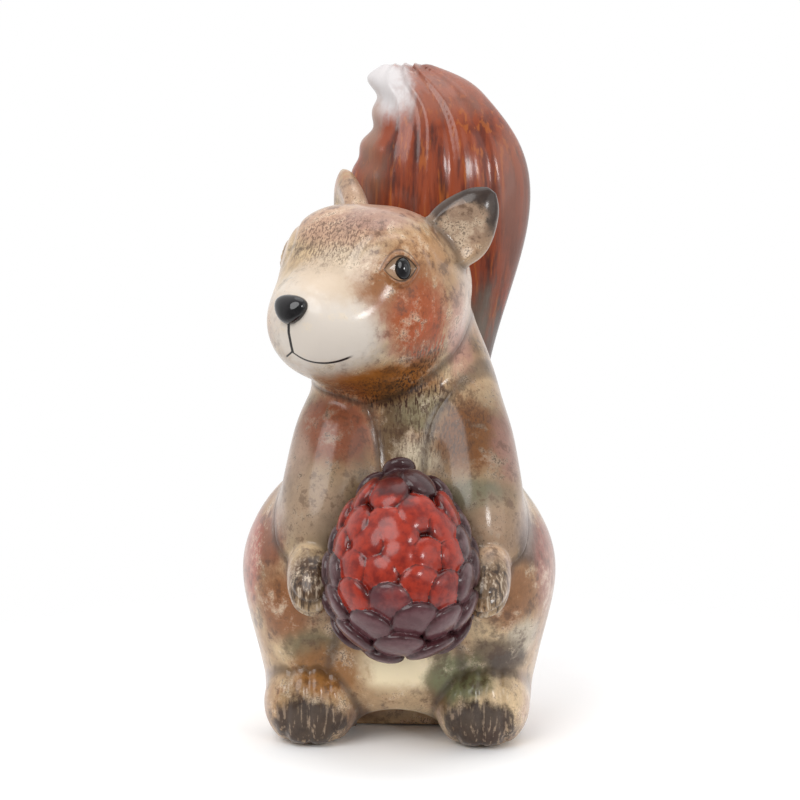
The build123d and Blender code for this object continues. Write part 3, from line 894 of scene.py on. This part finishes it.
# The tail's glaze: brick and rust drawn down the combed ridges, with a white tip at the top
# and a taupe patch where the tail passes behind the neck.
tail_glaze = start_paint("tail_glaze")
streak = noise(230.0, 5.0, stretch=(1, 1, 0.08), rough=0.6)
thin = noise(620.0, 3.0, stretch=(1, 1, 0.06))
cloud = noise(40.0, 4.0, stretch=(1, 1, 0.6))
blot = noise(75.0, 5.0, rough=0.65)
colour = over(tone("6a2c1b"), tone("8e4022"), streak.ramp(0.40, 0.60))
colour = over(colour, tone("a85a24"), thin.ramp(0.55, 0.66) * 0.7)
colour = over(colour, tone("3a1d18"), (cloud * 0.5 + streak * 0.5).ramp(0.50, 0.40) * 0.8)
for code, amount, centre, radii in (
    ("9c6a5a", 0.55, (6, 36, 190), (22, 20, 8)), ("cfcaca", 1.0, (-9, 38, 192), (10, 20, 11)),
    ("a3806f", 0.8, (-13, 38, 180), (6, 20, 9)), ("97695a", 0.5, (35, 30, 172), (6.5, 9, 26)),
    ("74685d", 0.9, (25, 27, 112), (12, 8, 17)), ("8a5d50", 0.6, (33, 30, 145), (5, 9, 20)),
    ("83604f", 0.6, (-10, 38, 165), (5, 20, 14)),
):
    colour = over(colour, tone(code), patch(centre, radii, blot * 0.5 + streak * 0.5, 0.45, amount))
# Painted shade, with pooled stain, in the crease where the tail meets the other castings.
seam = Paint.node("ShaderNodeAttribute", {"attribute_name": "seam"}, {}, out=2)
colour = over(colour, tone("3a2620"), seam.ramp(0.3, 1.1) * 0.6)
glaze(colour, 0.42, streak * 0.7 + thin * 0.3, 0.0008)
for made in painted:
    if made.name.startswith("tail"):
        made.data.materials.clear()
        made.data.materials.append(tail_glaze)

# The cone's glaze: plum scales, those that face forward and up in scarlet, painted shade with dark
# stain in the creases between them, and painted shade over the top of the cone.
cone_glaze = start_paint("cone_glaze")
blot = noise(170.0, 4.0)
fine = noise(420.0, 4.0, rough=0.6)
crest = Paint.node("ShaderNodeAttribute", {"attribute_name": "crest"}, {}, out=2) + (fine - 0.5) * 0.35
red = Paint.node("ShaderNodeAttribute", {"attribute_name": "red"}, {}, out=2)
plum = over(tone("46292b"), tone("654a4c"), (blot * 0.5 + fine * 0.5).ramp(0.42, 0.58))
plum = over(plum, tone("5e3038"), patch((3.0, -60.0, 46.0), (26, 26, 14), fine, 0.3, 0.55))
scarlet = over(tone("76190f"), tone("a02e1a"), (fine * 0.5 + blot * 0.5).ramp(0.38, 0.60))
colour = over(plum, scarlet, (red + (blot - 0.5) * 0.5).ramp(0.3, 0.75))
# Painted shade, with dark stain, in the creases between the scales and under their lifted edges.
colour = over(colour, tone("2c1214"), crest.ramp(0.30, -0.12) * 0.85)
# Painted shade: the top of the cone, where the upper rear scales lie in shadow, is darkened.
colour = over(colour, tone("34191b"), patch((3.2, -48.0, 86.0), (14, 14, 5), blot, 0.3, 0.75))
glaze(colour, 0.42, fine, 0.0003)
cone.data.materials.append(cone_glaze)

# The eyes' and the nose's glaze: plain black, with hardly any variation, and the smoothest
# coat on the figurine.
black_glaze = start_paint("black_glaze")
colour = over(tone("0b0b0c"), tone("191719"), noise(300.0).ramp(0.4, 0.6))
glaze(colour, 0.12, coat=0.8, gloss=0.04)
for made in black:
    made.data.materials.append(black_glaze)

# Studio: a white room with broad soft lamps and one small one for the glints, a pale floor
# that fades into the room, and the camera where the photograph's stood.
TARGET = Vector((0.0, 0.0, 0.1001))
DISTANCE = 1.1
AZIMUTH, ELEVATION = math.radians(3.0), math.radians(9.5)
level = math.cos(ELEVATION)
back = Vector((math.sin(AZIMUTH) * level, -math.cos(AZIMUTH) * level, math.sin(ELEVATION)))
camera = bpy.data.objects.new("camera", bpy.data.cameras.new("camera"))
bpy.context.scene.collection.objects.link(camera)
camera.location = TARGET + back * DISTANCE
camera.rotation_euler = (-back).to_track_quat("-Z", "Y").to_euler()
camera.data.lens = 165
camera.data.sensor_width = 36
bpy.context.scene.camera = camera


def lamp(name, place, size, power):
    data = bpy.data.lights.new(name, "AREA")
    data.shape, data.size, data.energy = "DISK", size, power
    made = bpy.data.objects.new(name, data)
    made.location = place
    made.rotation_euler = (TARGET - Vector(place)).to_track_quat("-Z", "Y").to_euler()
    bpy.context.scene.collection.objects.link(made)


lamp("key", (-0.60, -1.05, 1.00), 1.2, 14.0)
lamp("fill", (1.1, -0.8, 0.5), 1.2, 3.5)
lamp("top", (0.1, 0.1, 1.2), 1.0, 3.0)
lamp("glint", (0.62, -1.00, 0.42), 0.20, 2.2)

world = bpy.data.worlds.new("room")
bpy.context.scene.world = world
world.use_nodes = True
Paint.tree = world.node_tree
Paint.tree.nodes.clear()
seen = Paint.node("ShaderNodeLightPath", {}, {}, out=0)
way = Paint.node("ShaderNodeTexCoord", {}, {}, out=0)
behind = vector("DOT_PRODUCT", way, (0, 1, 0), out=1)
power = behind.ramp(-0.9, 0.3, 0.30, 1.0) * (1.0 - seen) + seen
light = Paint.node("ShaderNodeBackground", {}, {"Color": (1.0, 1.0, 1.0, 1), "Strength": power})
close_tree(light, "ShaderNodeOutputWorld")

floor_mesh = bpy.data.meshes.new("floor")
FLOOR_REACH, FLOOR_DROP = 3, 0.0002
edge = [(x * FLOOR_REACH, y * FLOOR_REACH, -FLOOR_DROP) for x, y in ((-1, -1), (1, -1), (1, 1), (-1, 1))]
floor_mesh.from_pydata(edge, [], [(0, 1, 2, 3)])
floor = bpy.data.objects.new("floor", floor_mesh)
bpy.context.scene.collection.objects.link(floor)
paper = start_paint("paper")
sheet = Paint.node("ShaderNodeBsdfDiffuse", {}, {"Color": over(tone("fcfcfc"), tone("ffffff"), noise(3.0))})
clear = Paint.node("ShaderNodeBsdfTransparent", {}, {})
away = vector("LENGTH", here(), None, out=1)
mix = Paint.node("ShaderNodeMixShader", {}, {0: away.ramp(0.06, 0.20), 1: sheet, 2: clear})
close_tree(mix)
floor.data.materials.append(paper)
floor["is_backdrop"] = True

bpy.context.scene.view_settings.view_transform = "Standard"

low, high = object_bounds()
